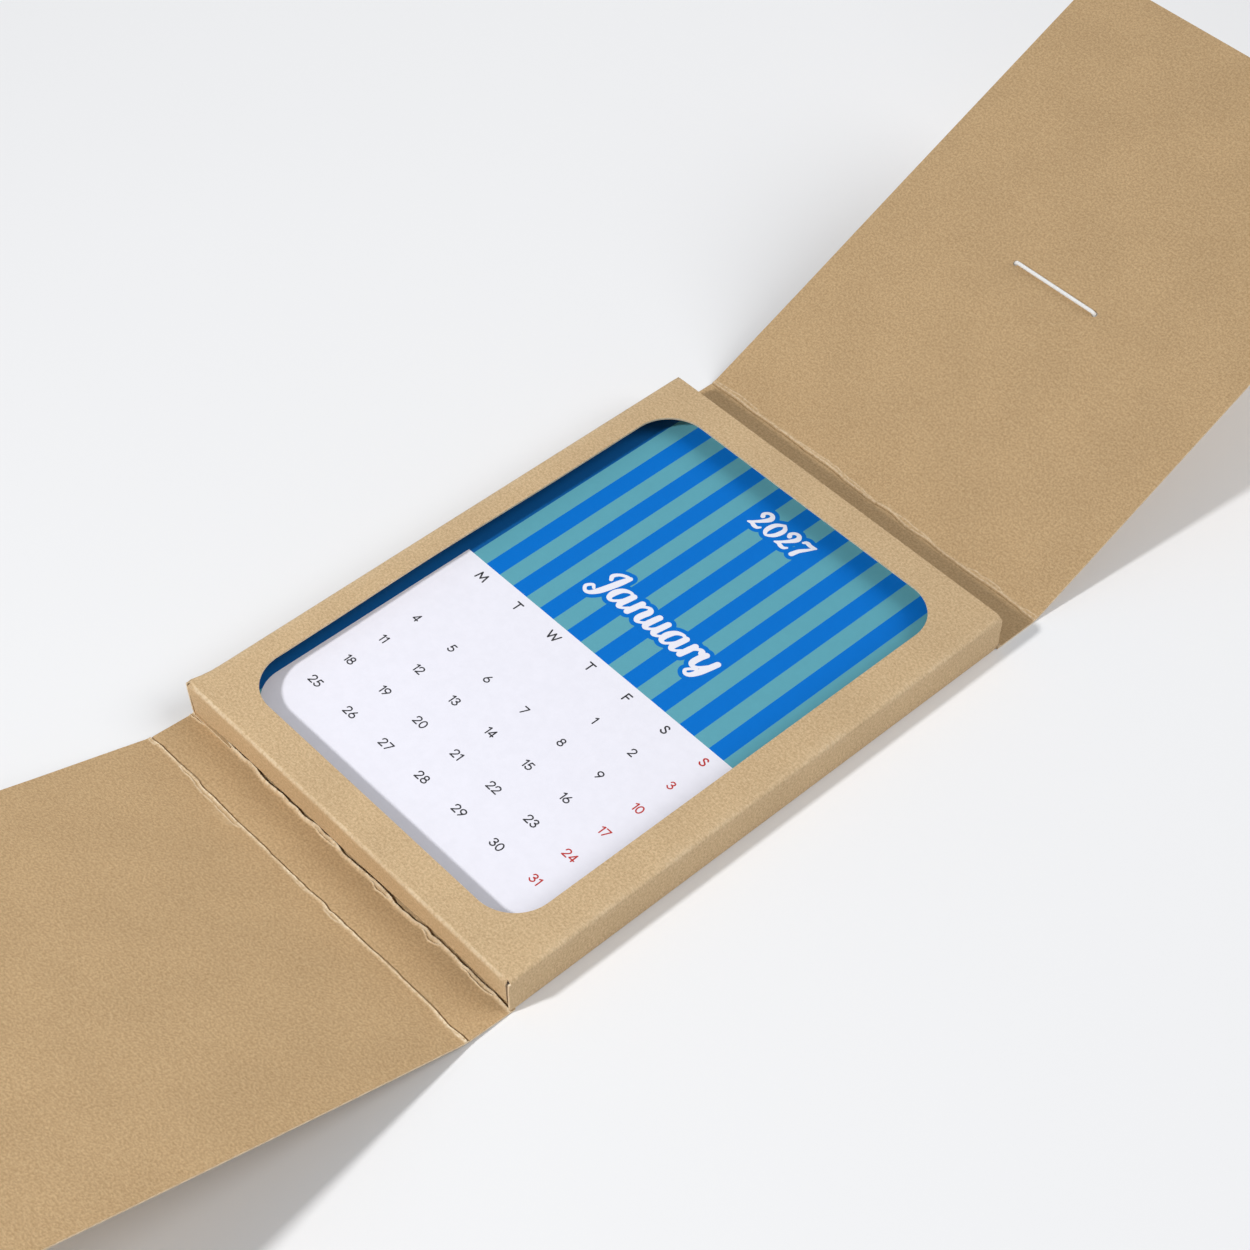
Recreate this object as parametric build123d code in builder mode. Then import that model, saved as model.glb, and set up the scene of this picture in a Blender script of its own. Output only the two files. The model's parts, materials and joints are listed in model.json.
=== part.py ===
"""Desk calendar: month cards in a folded kraft sleeve with a window and two hinged covers.

Millimetres. +Z is up, +Y points to the top of the calendar, and the origin is the middle of the
sleeve's underside. The case is one sheet: sleeve, two spines and two covers, divided at its creases.
"""
import os
from math import cos, radians, sin, sqrt

from build123d import *

# Kraft board
board = 0.5
crease_gap = 0.12

# Month cards
card_count = 12
card_width = 105.0
card_length = 148.0
card_thickness = 0.4
card_offset = -1.4
card_stray = 0.25

# Sleeve, which is wider and longer than the cards by the room it leaves them
card_side_room = 7.0
card_end_room = 7.0
sleeve_height = 11.35
long_fold_radius = 1.1
end_fold_radius = 0.8
glue_flap_width = 14.0
glue_line = 0.1
end_wall_gap = 2.95
end_slit = 0.6
end_relief = 0.2

# Window, as the widths of the four rims around it
left_rim = 7.5
right_rim = 10.1
top_rim = 8.65
bottom_rim = 9.5
window_radius = 10.8

# Covers, with the angles above the desk at which they stand open
cover_clearance = 0.2
top_cover_length = 154.0
bottom_cover_length = 152.0
cover_corner_radius = 1.5
top_spine_angle = 0.0
top_cover_angle = 24.0
bottom_spine_angle = 4.0
bottom_cover_angle = 19.3

# Elastic strap on the top cover
elastic_diameter = 0.95
elastic_span = 26.4
elastic_offset = -1.3
elastic_reach = 72.8
elastic_bend_radius = 1.0
elastic_hole_clearance = 0.35
knot_overhang = 0.375
knot_clearance = 0.04
knot_tail = 0.9

# Places that follow from the sizes above
sleeve_width = card_width + card_side_room
sleeve_length = card_length + card_end_room
hinge_y = sleeve_length / 2 + crease_gap + board / 2
hinge_z = board / 2
bottom_spine_width = sleeve_height + cover_clearance
top_spine_width = bottom_spine_width + board + elastic_diameter + cover_clearance
spine_end_gap = crease_gap + board / 2


def panel_plane(y, z, angle, side):
    """Plane across a panel: its x runs from the crease to the free end, its y is the inner face's normal."""
    run = (0, side * cos(radians(angle)), sin(radians(angle)))
    return Plane(origin=(0, y, z), x_dir=run, z_dir=(side, 0, 0))


def next_hinge(plane, width):
    """Middle of the crease at the far side of a panel."""
    return plane.from_local_coords((width, 0, 0))


top_spine_plane = panel_plane(hinge_y, hinge_z, top_spine_angle, 1)
top_crease = next_hinge(top_spine_plane, top_spine_width)
top_cover_plane = panel_plane(top_crease.Y, top_crease.Z, top_cover_angle, 1)
bottom_spine_plane = panel_plane(-hinge_y, hinge_z, bottom_spine_angle, -1)
bottom_crease = next_hinge(bottom_spine_plane, bottom_spine_width)
bottom_cover_plane = panel_plane(bottom_crease.Y, bottom_crease.Z, bottom_cover_angle, -1)

os.makedirs("parts", exist_ok=True)

# Sleeve: the sheet runs from the back panel's raw left edge round to the glue flap inside
wall_x = sleeve_width / 2 - board / 2
front_z = sleeve_height - board / 2
flap_z = board * 3 / 2 + glue_line
card_bed_z = flap_z + board / 2
end_y = -sleeve_length / 2
end_wall_width = sleeve_width - 2 * (board + end_slit)
front_end_y = end_y + end_fold_radius
window_x = (left_rim - right_rim) / 2
window_y = (bottom_rim - top_rim) / 2

with BuildPart() as sleeve:
    with BuildSketch(Plane.XZ):
        with BuildLine():
            FilletPolyline(
                (-sleeve_width / 2, board / 2),
                (wall_x, board / 2),
                (wall_x, front_z),
                (-wall_x, front_z),
                (-wall_x, flap_z),
                (glue_flap_width - wall_x, flap_z),
                radius=long_fold_radius - board / 2,
            )
        trace(line_width=board)
    extrude(amount=sleeve_length / 2, both=True)

    # The front panel stops short at the bottom, where it folds down into the end wall
    with BuildSketch(Plane.XY.offset(sleeve_height - long_fold_radius)):
        with Locations((0, end_y)):
            Rectangle(sleeve_width, end_fold_radius, align=(Align.CENTER, Align.MIN))
    extrude(amount=long_fold_radius, mode=Mode.SUBTRACT)

    # The long walls stop a little before the end wall's face
    with BuildSketch(Plane.XY.offset(card_bed_z)):
        with Locations((0, end_y)):
            Rectangle(sleeve_width, end_relief, align=(Align.CENTER, Align.MIN))
    extrude(amount=sleeve_height, mode=Mode.SUBTRACT)

    with BuildSketch(Plane.YZ):
        with BuildLine():
            FilletPolyline(
                (front_end_y + end_fold_radius, front_z),
                (end_y + board / 2, front_z),
                (end_y + board / 2, end_wall_gap),
                radius=end_fold_radius - board / 2,
            )
        trace(line_width=board)
    extrude(amount=end_wall_width / 2, both=True)

    with BuildSketch(Plane.XY.offset(sleeve_height)):
        with Locations((window_x, window_y)):
            RectangleRounded(
                sleeve_width - left_rim - right_rim,
                sleeve_length - top_rim - bottom_rim,
                window_radius,
            )
    extrude(amount=-board, mode=Mode.SUBTRACT)
sleeve.part.label = "sleeve"
export_step(sleeve.part, "parts/sleeve.step")

# Month cards: a loose stack on the glue flap, each a little out of line with the next
for number in range(1, card_count + 1):
    stray_x = card_stray * (number % 3 - 1)
    stray_y = card_stray * (number % 4 - 2)
    under_z = card_bed_z + (card_count - number) * card_thickness
    with BuildPart() as card:
        with BuildSketch(Plane.XY.offset(under_z)):
            with Locations((card_offset + stray_x, stray_y)):
                Rectangle(card_width, card_length)
        extrude(amount=card_thickness)
    card.part.label = f"month_card_{number:02d}"
    export_step(card.part, f"parts/month_card_{number:02d}.step")

# Spines and covers: strips of board, each half round about the crease that it turns on
hole_radius = elastic_diameter / 2 + elastic_hole_clearance
strap_plane = Plane(
    origin=top_cover_plane.from_local_coords((elastic_reach, 0, 0)),
    x_dir=(1, 0, 0),
    z_dir=top_cover_plane.y_dir,
)
panels = {
    "top_spine": (top_spine_plane, top_spine_width - spine_end_gap),
    "top_cover": (top_cover_plane, top_cover_length),
    "bottom_spine": (bottom_spine_plane, bottom_spine_width - spine_end_gap),
    "bottom_cover": (bottom_cover_plane, bottom_cover_length),
}

for name, (plane, length) in panels.items():
    with BuildPart() as panel:
        with BuildSketch(plane):
            with BuildLine():
                inner_face = Line((0, board / 2), (length, board / 2))
                outer_face = Line((length, -board / 2), (0, -board / 2))
                Line(inner_face @ 1, outer_face @ 0)
                ThreePointArc(outer_face @ 1, (-board / 2, 0), inner_face @ 0)
            make_face()
        extrude(amount=sleeve_width / 2, both=True)
        if name.endswith("cover"):
            free_end = panel.faces().sort_by(Axis((0, 0, 0), plane.x_dir))[-1]
            fillet(free_end.edges().sort_by(SortBy.LENGTH)[:2], cover_corner_radius)
        if name == "top_cover":
            with BuildSketch(strap_plane):
                with Locations((elastic_offset, 0)):
                    with GridLocations(elastic_span, 0, 2, 1):
                        Circle(hole_radius)
            extrude(amount=board, both=True, mode=Mode.SUBTRACT)
    panel.part.label = name
    export_step(panel.part, f"parts/{name}.step")

# Elastic strap: along the inner face, down through both holes, a stopper knot under each
knot_radius = hole_radius + knot_overhang
knot_seat = sqrt(knot_radius**2 - hole_radius**2)
knot_depth = board / 2 + knot_seat + knot_clearance
strap_rise = board / 2 + elastic_diameter / 2
tail_depth = knot_depth + knot_radius + knot_tail
left_hole = elastic_offset - elastic_span / 2
right_hole = elastic_offset + elastic_span / 2
strap_section = Plane(origin=strap_plane.origin, x_dir=(1, 0, 0), z_dir=-top_cover_plane.x_dir)

with BuildPart() as elastic_strap:
    with BuildLine(strap_section) as strap_path:
        FilletPolyline(
            (left_hole, -tail_depth),
            (left_hole, strap_rise),
            (right_hole, strap_rise),
            (right_hole, -tail_depth),
            radius=elastic_bend_radius,
        )
    with BuildSketch(Plane(origin=strap_path.wires()[0] @ 0, z_dir=strap_path.wires()[0] % 0)):
        Circle(elastic_diameter / 2)
    sweep()
    for hole in (left_hole, right_hole):
        with Locations(strap_section.from_local_coords((hole, -knot_depth, 0))):
            Sphere(knot_radius)
elastic_strap.part.label = "elastic_strap"
export_step(elastic_strap.part, "parts/elastic_strap.step")
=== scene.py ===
"""Looks of the desk calendar: a creased kraft sheet, printed month cards and an elastic, on a pale floor.

Lengths are in millimetres until a mesh, a lamp or the camera is made. Materials and the floor are in metres.
"""
import json
from math import cos, pi, radians, sin, tan

import bpy
import numpy as np
from mathutils import Matrix, Vector, geometry


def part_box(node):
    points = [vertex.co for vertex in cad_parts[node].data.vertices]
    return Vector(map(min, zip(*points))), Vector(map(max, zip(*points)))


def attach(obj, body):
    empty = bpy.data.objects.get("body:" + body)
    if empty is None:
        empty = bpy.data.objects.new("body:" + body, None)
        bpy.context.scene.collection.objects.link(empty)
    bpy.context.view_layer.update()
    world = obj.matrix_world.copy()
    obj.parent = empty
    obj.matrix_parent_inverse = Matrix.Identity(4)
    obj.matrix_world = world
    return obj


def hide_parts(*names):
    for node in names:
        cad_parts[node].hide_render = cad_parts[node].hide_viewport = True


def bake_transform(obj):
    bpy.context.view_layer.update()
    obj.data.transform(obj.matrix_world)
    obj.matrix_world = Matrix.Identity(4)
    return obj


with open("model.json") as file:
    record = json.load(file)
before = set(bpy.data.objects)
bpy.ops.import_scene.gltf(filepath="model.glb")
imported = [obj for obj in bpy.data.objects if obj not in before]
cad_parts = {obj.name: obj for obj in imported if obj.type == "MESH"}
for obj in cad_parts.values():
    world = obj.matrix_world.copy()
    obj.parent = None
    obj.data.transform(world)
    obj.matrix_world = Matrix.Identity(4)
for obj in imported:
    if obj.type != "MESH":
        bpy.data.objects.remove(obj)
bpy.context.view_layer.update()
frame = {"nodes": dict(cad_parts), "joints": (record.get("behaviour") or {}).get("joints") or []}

MM = 0.001
TINY = 1e-6
MERGE_DISTANCE = 1e-5
WHOLE_HULL = 0
SHARP_ANGLE = 60.0
JOINTS = {joint["name"]: joint for joint in frame["joints"]}
HALF_WIDTH, HALF_LENGTH, HEIGHT = np.array(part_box("sleeve")[1]) / MM
CARD_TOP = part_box("month_card_01")[1][2] / MM

# Kraft sheet, with folds measured in the middle of the board
BOARD = 0.5
LONG_FOLD = 0.85
END_FOLD = 0.55
FLAP_Z = 0.85
FLAP_WIDTH = 14.0
END_WALL_GAP = 2.55
END_WALL_LEAN = 0.4
END_RELIEF = 0.2
RIMS = {"left": 7.2, "right": 10.1, "top": 8.65, "bottom": 9.5}
WINDOW_RADIUS = 10.8
COVER_CORNER = 1.5
CREASE_BEND = 0.35

# Creases and covers of the two sides, with their angles as the case stands open
SIDES = {
    "top": {
        "way": 1, "spine_angle": 0.0, "cover_angle": 24.0, "cover": 154.0,
        "tuck": 0.0, "shoulder": 0.0, "bead": 0.3, "rub_and_shade": 0.6, "seed": 11,
    },
    "bottom": {
        "way": -1, "spine_angle": 4.0, "cover_angle": 19.3, "cover": 152.0,
        "tuck": 1.8, "shoulder": 0.35, "bead": 0.42, "rub_and_shade": 1.0, "seed": 23,
    },
}

# Flat pattern of the sleeve: its panels and folds across it, each a length and a turn, and its ends along it
LONG_FOLD_LENGTH = LONG_FOLD * pi / 2
SLEEVE_RUNS = (
    (2 * HALF_WIDTH - BOARD / 2 - LONG_FOLD, 0),
    (LONG_FOLD_LENGTH, pi / 2),
    (HEIGHT - BOARD - 2 * LONG_FOLD, 0),
    (LONG_FOLD_LENGTH, pi / 2),
    (2 * HALF_WIDTH - BOARD - 2 * LONG_FOLD, 0),
    (LONG_FOLD_LENGTH, pi / 2),
    (HEIGHT - BOARD / 2 - FLAP_Z - 2 * LONG_FOLD, 0),
    (LONG_FOLD_LENGTH, pi / 2),
    (FLAP_WIDTH - LONG_FOLD, 0),
)
SLEEVE_ENDS = np.cumsum([0] + [length for length, _ in SLEEVE_RUNS])
BACK_TO, WALL_FROM, WALL_TO, FRONT_FROM, FRONT_TO, LEFT_FROM, LEFT_TO, FLAP_FROM, FLAP_TO = SLEEVE_ENDS[1:]
FRONT_X = HALF_WIDTH - BOARD / 2 - LONG_FOLD
FOLD_V = -HALF_LENGTH + END_FOLD + BOARD / 2
END_FOLD_LENGTH = END_FOLD * pi / 2
END_DROP = END_FOLD_LENGTH + HEIGHT - BOARD / 2 - END_FOLD - END_WALL_GAP
WALL_END = -HALF_LENGTH + END_RELIEF
BACK_END = -HALF_LENGTH + SIDES["bottom"]["tuck"]
WINDOW_LOW = np.array([FRONT_FROM + FRONT_X - HALF_WIDTH + RIMS["right"], -HALF_LENGTH + RIMS["bottom"]])
WINDOW_HIGH = np.array([FRONT_TO - FRONT_X + HALF_WIDTH - RIMS["left"], HALF_LENGTH - RIMS["top"]])

# Unevenness of the sleeve: a bell has a width, a middle and a height, and a slope has a start and a length
END_EDGE_RISE = (20.0, 34.0, 1.3)
END_EDGE_DIP = (10.0, -54.0, 1.4)
CORNER_FLARE = 1.3
FLARE_SLOPE_X = (46.0, 10.0)
FLARE_WIDTH_Y = 4.0
FLARE_SLOPE_Z = (1.0, 8.0)
CORNER_CLOSING = 0.6
CLOSING_SLOPE_X = (52.0, 3.0)
RIM_BOW = 0.55
RIM_SLOPE_X = (20.0, 29.0)
RIM_BELL_Y = (26.0, -10.0)
FRONT_WAVE = 0.08
FRONT_WAVE_LENGTH = 30.0
FRONT_SEED = 3
WALL_BULGE = 0.18
WALL_WAVE_LENGTH = 26.0
WALL_WAVE_HEIGHT = 9.0
WALL_SEED = 5

# Unevenness of the creases and covers: offsets are from a crease, towards the cover
CREASE_STEP = 0.32
BEAD_WIDTH_NEAR = 0.22
BEAD_WIDTH_FAR = 0.45
FURROW_DEPTH = 0.6
FURROW_WIDTH = 0.2
FURROW_OFFSET = -0.5
STRAND_START = 0.05
STRAND_OFFSET = 0.3
STRAND_REACH = 1.1
STRAND_RISE = 2.5
STRAND_HEIGHT = 0.9
STRAND_WIDTH = 0.17
SCORE_DEPTH = 0.12
SCORE_WIDTH = 0.5
SHOULDER_OFFSET = -0.85
SHOULDER_WIDTH = 0.45
SHOULDER_ROUNDING = 3
RELIEF_ENDS = (0.3, 0.5)
SLEEVE_CREASE_SEED = 40
COVER_ROOM = 0.1
COVER_BOW = 0.25
COVER_BOW_SLOPE = (3.0, 30.0)
COVER_WAVE_LENGTH = 45.0
COVER_SEED = 9

# Wear along the folds of the sleeve
END_WEAR = 0.48
END_WEAR_WIDTH = 0.55
LONG_WEAR = 0.3
LONG_WEAR_EVEN = 0.6
LONG_WEAR_WIDTH = 0.7

# Random lines: the size of each, the length of its features and its own seed
END_WEAR_PATCHES = (0.2, 5.0, 7)
LONG_WEAR_PATCHES = (0.6, 7.0, 8)
CREASE_STEPS = (3.0, 7.0, 0)
CREASE_WAVER = (0.16, 2.5, 1)
CREASE_TREMOR = (0.07, 1.1, 6)
CREST_WAVES = (0.35, 4.0, 2)
CREST_GRAIN = (0.2, 1.2, 3)
STRAND_SPLIT = (1.0, 6.0, 4)
STRAND_WAVER = (0.15, 1.5, 5)
SHOULDER_WAVES = (0.15, 8.0, 12)

# Mesh of the sleeve: steps in a fold, and the spacing of points elsewhere
FOLD_STEPS = 6
PANEL_STEP = 2.4
END_WALL_STEP = 1.2
EDGE_STEP = 2.0
WINDOW_STEP = 1.0
END_EDGE_POINTS = 111
ROOM_BELOW_FOLD = 0.3
ROOM_ABOVE_FOLD = 0.7
GRID_MARGIN = 0.35

# Mesh of a spine or a cover: a close grid in a band about its crease, and a wide one outside a broader band
CLOSE_BAND = (-1.5, 1.9)
CLOSE_ROW = 0.11
CLOSE_COLUMN = 0.5
OPEN_BAND = (-2.2, 2.6)
WIDE_STEP = 3.0
WIDE_COLUMNS = 37
WIDE_ENDS = (0.6, 0.5)
GRID_ENDS = (0.05, 0.3)
CORNER_STEPS = 6
HOLE_STEP = 20.0
HOLE_MARGIN = 0.2
HOLE_CHORD = 0.98

# Elastic on the top cover, with the knots under its holes
ELASTIC = 0.95
ELASTIC_HOLES = (-14.5, 11.9)
ELASTIC_REACH = 72.8
ELASTIC_HOLE = 0.825
ELASTIC_BEND = 1.0
ELASTIC_STEP = 0.09
ELASTIC_AROUND = 24
BRAID_DEPTH = 0.07
BRAID_THREADS = 6
BRAID_TURN = 7.5
KNOT_DEPTH = 1.16
KNOT_SIZE = 0.33
KNOT_RISE = 1.1
KNOT_CORD = 0.36
KNOT_POINTS = 90
KNOT_AROUND = 14
ANY_WAY = (0.3, 0.5, 0.8)

# Printed card
STRIPE = 4.85
STRIPE_START = -37.7
# Painted shade is laid left of this edge, on the card's left strip
SHADE_PAINT_EDGE = -47.4
FIELD_TOP = 1.4
FIELD_LEFT = -49.1
FIELD_RIGHT = 46.6
FIELD_BOTTOM = -67.5
FIELD_RADIUS = 10.0
INK = 0.012
FINE_CELL = 0.08
TITLE_CELL = 0.12
OUTLINE_CELL = 0.2
PRINT_SLIVER = 0.02
PRINT_MARGIN_CELLS = 2
WEEKDAYS = "MTWTFSS"
SUNDAY = 6
FIRST_WEEKDAY = 4
MONTH_DAYS = 31
COLUMN_LEFT = -40.0
COLUMN_STEP = 12.87
WEEKDAY_Y = -2.2
FIRST_ROW_Y = -12.38
ROW_STEP = 10.05
ROW_DRIFT = 0.22
WEEKDAY_SIZE = 2.6
WEEKDAY_PEN = 0.42
DATE_SIZE = 2.4
DATE_PEN = 0.36
LETTER_GAP = 0.2
LETTER_WIDTH = 1.17
TITLES = {"year": ("2027", (-10.7, 58.3)), "month": ("January", (-18.8, 15.4))}
TITLE_SLANT = 0.18
TITLE_OUTLINE = 1.15
RING_STEPS = 16


def ring(x, y, across, along):
    """Closed pen stroke round an ellipse."""
    angles = [step * 2 * pi / RING_STEPS for step in range(RING_STEPS + 1)]
    return tuple((x + across * cos(angle), y + along * sin(angle)) for angle in angles)


# Weekdays and dates: pen strokes in letters one unit high
PLAIN_GLYPHS = {
    "0": (ring(0.31, 0.5, 0.25, 0.44),),
    "1": (((0.02, 0.78), (0.22, 0.94)), ((0.22, 0.94), (0.22, 0.06))),
    "2": (
        ((0.06, 0.68), (0.12, 0.86), (0.30, 0.94), (0.48, 0.85), (0.51, 0.65), (0.36, 0.41), (0.07, 0.07)),
        ((0.07, 0.07), (0.55, 0.07)),
    ),
    "3": (
        ((0.07, 0.76), (0.15, 0.9), (0.30, 0.94), (0.46, 0.85), (0.44, 0.64), (0.25, 0.54)),
        ((0.25, 0.54), (0.47, 0.45), (0.53, 0.27), (0.42, 0.1), (0.24, 0.06), (0.06, 0.21)),
    ),
    "4": (((0.43, 0.94), (0.05, 0.27)), ((0.05, 0.27), (0.58, 0.27)), ((0.43, 0.94), (0.43, 0.06))),
    "5": (
        ((0.49, 0.94), (0.18, 0.94)), ((0.18, 0.94), (0.11, 0.52)),
        ((0.11, 0.52), (0.30, 0.59), (0.49, 0.49), (0.53, 0.29), (0.40, 0.1), (0.20, 0.06), (0.05, 0.19)),
    ),
    "6": (ring(0.31, 0.31, 0.25, 0.25), ((0.40, 0.94), (0.22, 0.66), (0.08, 0.40))),
    "7": (((0.04, 0.94), (0.53, 0.94)), ((0.53, 0.94), (0.18, 0.06))),
    "8": (ring(0.29, 0.73, 0.2, 0.21), ring(0.29, 0.29, 0.25, 0.23)),
    "9": (ring(0.31, 0.69, 0.25, 0.25), ((0.22, 0.06), (0.40, 0.34), (0.54, 0.60))),
    "M": (
        ((0.06, 0.06), (0.18, 0.94)), ((0.18, 0.94), (0.50, 0.22)),
        ((0.50, 0.22), (0.82, 0.94)), ((0.82, 0.94), (0.94, 0.06)),
    ),
    "T": (((0.0, 0.93), (0.62, 0.93)), ((0.31, 0.93), (0.31, 0.06))),
    "W": (
        ((0.0, 0.94), (0.26, 0.07)), ((0.26, 0.07), (0.52, 0.90)),
        ((0.52, 0.90), (0.78, 0.07)), ((0.78, 0.07), (1.04, 0.94)),
    ),
    "F": (((0.08, 0.06), (0.08, 0.93)), ((0.08, 0.93), (0.50, 0.93)), ((0.08, 0.53), (0.46, 0.53))),
    "S": (
        ((0.47, 0.80), (0.37, 0.92), (0.22, 0.92), (0.10, 0.80), (0.14, 0.63), (0.32, 0.51),
         (0.48, 0.37), (0.49, 0.19), (0.36, 0.07), (0.18, 0.08), (0.05, 0.22)),
    ),
}

# Letters of the titles: the step to the next one, then pen strokes as places on the card with the pen's width
STEM = ((0.9, 5.1, 1.7), (0.9, 3.0, 1.8), (0.9, 0.8, 1.7))
GLYPHS = {
    "J": (2.6, (
        ((-0.6, 4.9, 1.0), (-1.4, 6.0, 1.2), (-0.85, 7.4, 0.95), (0.5, 8.3, 0.9), (1.8, 8.5, 0.9)),
        ((1.75, 8.45, 1.3), (1.55, 6.0, 1.85), (1.3, 3.0, 1.9), (0.95, 0.4, 1.8), (0.2, -1.6, 1.25),
         (-1.0, -2.1, 0.95), (-2.3, -0.9, 0.95), (-1.6, 0.55, 0.9), (-0.55, 0.0, 0.8)),
    )),
    "a": (6.75, (
        ((4.3, 5.2, 0.9), (3.0, 5.5, 0.9), (1.5, 4.6, 1.4), (0.95, 2.6, 1.85), (1.4, 0.75, 1.4),
         (2.6, 0.4, 0.9), (3.6, 1.6, 0.8), (4.3, 3.4, 0.8)),
        ((4.6, 5.1, 1.7), (4.6, 3.5, 1.8), (4.6, 1.5, 1.8), (5.1, 0.4, 1.2),
         (6.1, 0.75, 0.8), (6.9, 1.9, 0.7)),
    )),
    "n": (6.0, (
        STEM,
        ((1.1, 3.2, 0.8), (1.9, 4.7, 0.8), (3.1, 5.4, 1.0), (4.1, 4.6, 1.7), (4.0, 2.6, 1.85),
         (4.1, 1.2, 1.7), (4.7, 0.4, 1.1), (5.7, 0.8, 0.8), (6.5, 1.9, 0.7)),
    )),
    "u": (5.5, (
        ((0.9, 5.1, 1.7), (0.85, 3.0, 1.8), (0.95, 1.3, 1.8), (1.7, 0.4, 1.1),
         (2.8, 1.2, 0.8), (3.6, 2.9, 0.8)),
        ((3.85, 5.1, 1.7), (3.85, 3.0, 1.8), (3.9, 1.3, 1.8), (4.5, 0.4, 1.1),
         (5.5, 0.8, 0.8), (6.3, 1.9, 0.7)),
    )),
    "r": (3.8, (
        STEM,
        ((1.1, 3.4, 0.8), (1.7, 4.7, 0.9), (2.6, 5.35, 1.1), (3.3, 5.1, 1.5), (3.45, 4.7, 1.5)),
    )),
    "y": (6.0, (
        ((0.9, 5.1, 1.7), (0.7, 3.4, 1.8), (0.9, 1.3, 1.75), (1.8, 0.45, 1.1),
         (3.0, 1.2, 0.8), (4.1, 3.2, 0.8)),
        ((4.7, 5.1, 1.7), (4.6, 3.0, 1.8), (4.4, 0.4, 1.8), (3.9, -1.7, 1.4), (2.9, -2.4, 1.0),
         (1.9, -1.6, 0.9), (2.6, -0.2, 0.8), (4.0, 0.7, 0.7)),
    )),
    "2": (4.4, (
        ((0.75, 4.25, 1.25), (0.2, 5.0, 1.0), (0.7, 6.0, 0.9), (1.9, 6.1, 1.1), (2.75, 4.9, 1.45),
         (2.0, 2.9, 1.1), (0.9, 1.2, 0.75), (0.2, 0.4, 0.6)),
        ((0.2, 0.35, 0.5), (1.1, 0.7, 1.0), (2.2, 0.4, 1.15), (3.1, 0.45, 0.9), (3.6, 1.1, 0.6)),
    )),
    "0": (4.87, (
        ((2.0, 6.0, 0.8), (0.75, 4.6, 1.2), (0.5, 3.0, 1.4), (0.85, 1.3, 1.2), (2.0, 0.35, 0.75),
         (3.2, 1.6, 1.2), (3.5, 3.3, 1.4), (3.2, 4.9, 1.2), (2.0, 6.0, 0.8)),
    )),
    "7": (4.4, (
        ((-0.1, 5.2, 0.6), (0.5, 5.9, 1.1), (1.8, 5.75, 1.1), (3.3, 6.1, 0.6)),
        ((3.2, 6.0, 0.6), (2.5, 4.2, 0.9), (1.7, 2.4, 1.2), (1.5, 0.4, 1.4)),
    )),
}

# Kraft board: noise has features per metre, detail and roughness, and levels are where it starts and ends
GRAIN = (1700.0, 3.0, 0.7)
GRAIN_LEVELS = (0.33, 0.67)
CLOUD = (55.0, 3.0, 0.55)
CLOUD_SHADES = ((0.965, 0.96, 0.955, 1), (1.03, 1.03, 1.03, 1))
RUB = (1100.0, 3.0, 0.7)
SOFT_LEVELS = (0.3, 0.7)
BROAD_LEVELS = (0.2, 0.8)
PATCH_LEVELS = (0.25, 0.6)
KRAFT_DARK = (0.483, 0.34, 0.193, 1)
KRAFT_PALE = (0.667, 0.49, 0.307, 1)
KRAFT_WORN = (0.79, 0.65, 0.46, 1)
# Painted shade: the dark brown that the furrows beside the creases are coloured with
KRAFT_PAINTED_CREASE_SHADE = (0.17, 0.105, 0.05, 1)
KRAFT_OUTER = (0.97, 0.96, 0.91, 1)
KRAFT_INNER = (0.865, 0.815, 0.718, 1)
KRAFT_BUMP = (0.5, 0.00006)
KRAFT_ROUGHNESS = (0.75, 0.95)
KRAFT_GLOSS = 0.25
EDGE_LAYERS = ((900.0, 900.0, 6000.0), 3.0, 0.6)
EDGE_COLOURS = ((0.56, 0.41, 0.25, 1), (0.80, 0.66, 0.47, 1))
EDGE_BUMP = (0.6, 0.00008)
EDGE_ROUGHNESS = 0.92
EDGE_GLOSS = 0.2

# Fibres of the board, in two sets of each colour: their angle, length, width and levels
PALE_FIBRES = ((20, 0.0016, 0.00022, 0.60, 0.72), (-65, 0.0013, 0.0002, 0.61, 0.73))
PALE_FIBRE = (0.76, 0.60, 0.40, 1)
PALE_STRENGTH = 0.4
DARK_FIBRES = ((55, 0.0012, 0.00018, 0.62, 0.73), (-20, 0.001, 0.00016, 0.63, 0.74))
DARK_FIBRE = (0.36, 0.235, 0.12, 1)
DARK_STRENGTH = 0.45
FIBRE_NOISE = (1.0, 1.0, 0.5, 0.6)
FIBRE_HEIGHT = 0.6

# Paper and elastic
TOOTH = (5200.0, 3.0, 0.6)
MOTTLE = (420.0, 3.0, 0.6)
PAPER_SHADES = ((0.965, 0.965, 0.965, 1), (1, 1, 1, 1))
PAPER_BUMP = (0.25, 0.00003)
PAPER_ROUGHNESS = (0.5, 0.68)
PAPER_GLOSS = 0.12
CARD_LAYERS = ((300.0, 300.0, 9000.0), 2.0, 0.5)
CARD_GREY = (0.83, 0.83, 0.87, 1)
THREAD = (5000.0, 2.0, 0.6)
ELASTIC_COLOURS = ((0.80, 0.80, 0.79, 1), (0.93, 0.93, 0.92, 1))
ELASTIC_BUMP = (0.4, 0.00005)
ELASTIC_ROUGHNESS = 0.7
ELASTIC_GLOSS = 0.5
ELASTIC_SHEEN = 0.2

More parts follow.
